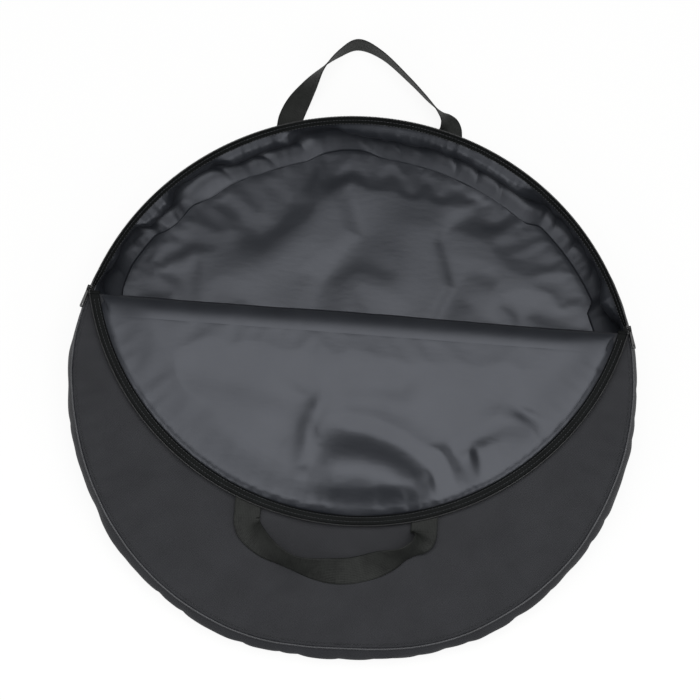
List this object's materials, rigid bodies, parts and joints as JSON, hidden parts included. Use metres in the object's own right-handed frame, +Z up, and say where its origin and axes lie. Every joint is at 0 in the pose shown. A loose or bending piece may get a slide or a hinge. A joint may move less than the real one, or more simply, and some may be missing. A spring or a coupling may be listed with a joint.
{
  "type": "bike wheel bag",
  "caption": "Round padded carry bag for one bicycle wheel: zipped flap folded open over the front panel, side wall, and a webbing handle on each face.",
  "frame": {"origin": "centre of the back panel's flat outer face, which lies on the floor", "axes": "+Z up through the bag from its back panel to its open front, +Y towards the rear handle and the top of the zip, +X to the right"},
  "size_m": [0.8388, 0.9593, 0.0983],
  "materials": {
    "outer_polyester": "matte",
    "lining_satin": "satin",
    "padding_foam": "matte",
    "zip_tape": "matte",
    "zip_coil": "satin",
    "piping_cloth": "matte",
    "webbing": "matte",
    "black_enamelled_zinc": "gloss"
  },
  "bodies": {
    "bag": {"back_shell": "outer_polyester", "back_padding": "padding_foam", "back_lining": "lining_satin", "back_piping": "piping_cloth", "gusset_upper_shell": "outer_polyester", "gusset_upper_lining": "lining_satin", "gusset_lower_shell": "outer_polyester", "gusset_lower_lining": "lining_satin", "front_shell": "outer_polyester", "front_padding": "padding_foam", "front_lining": "lining_satin", "front_piping": "piping_cloth", "rim_zip_tape": "zip_tape", "rim_zip_coil": "zip_coil", "zip_end_stop_left": "black_enamelled_zinc", "zip_end_stop_right": "black_enamelled_zinc", "flap_fold_strip": "lining_satin", "rear_handle_end_left": "webbing", "rear_handle_end_right": "webbing"},
    "flap": {"flap_shell": "outer_polyester", "flap_padding": "padding_foam", "flap_lining": "lining_satin", "flap_zip_tape": "zip_tape", "flap_zip_coil": "zip_coil", "front_handle_end_left": "webbing", "front_handle_end_right": "webbing"},
    "front_handle": {"front_handle": "webbing"},
    "rear_handle": {"rear_handle": "webbing"},
    "slider_left": {"slider_left": "black_enamelled_zinc"},
    "slider_right": {"slider_right": "black_enamelled_zinc"},
    "pull_left": {"pull_left": "black_enamelled_zinc"},
    "pull_right": {"pull_right": "black_enamelled_zinc"}
  },
  "joints": [
    {"name": "flap_fold", "type": "hinge", "parent": "bag", "child": "flap", "pos_m": [0, 0.09182, 0.0885], "axis": [-1, 0, 0], "range_deg": [0, 185.8], "deforming": ["flap_fold_strip"]},
    {"name": "front_handle_swing", "type": "hinge", "parent": "flap", "child": "front_handle", "pos_m": [0, -0.22101, 0.05933], "axis": [-1, 0, 0], "range_deg": [0, 60]},
    {"name": "rear_handle_swing", "type": "hinge", "parent": "bag", "child": "rear_handle", "pos_m": [0, 0.419, 0.0052], "axis": [1, 0, 0], "range_deg": [0, 70]},
    {"name": "slider_left_travel", "type": "hinge", "parent": "bag", "child": "slider_left", "pos_m": [0, 0, 0.08233], "axis": [0, 0, -1], "range_deg": [0, 74.6]},
    {"name": "slider_right_travel", "type": "hinge", "parent": "bag", "child": "slider_right", "pos_m": [0, 0, 0.08233], "axis": [0, 0, 1], "range_deg": [0, 74.6]},
    {"name": "pull_left_swing", "type": "hinge", "parent": "slider_left", "child": "pull_left", "pos_m": [-0.39896, 0.10217, 0.08594], "axis": [-0.685, 0.1754, -0.7071], "range_deg": [0, 160]},
    {"name": "pull_right_swing", "type": "hinge", "parent": "slider_right", "child": "pull_right", "pos_m": [0.39896, 0.10217, 0.08594], "axis": [0.685, 0.1754, -0.7071], "range_deg": [-160, 0]}
  ]
}
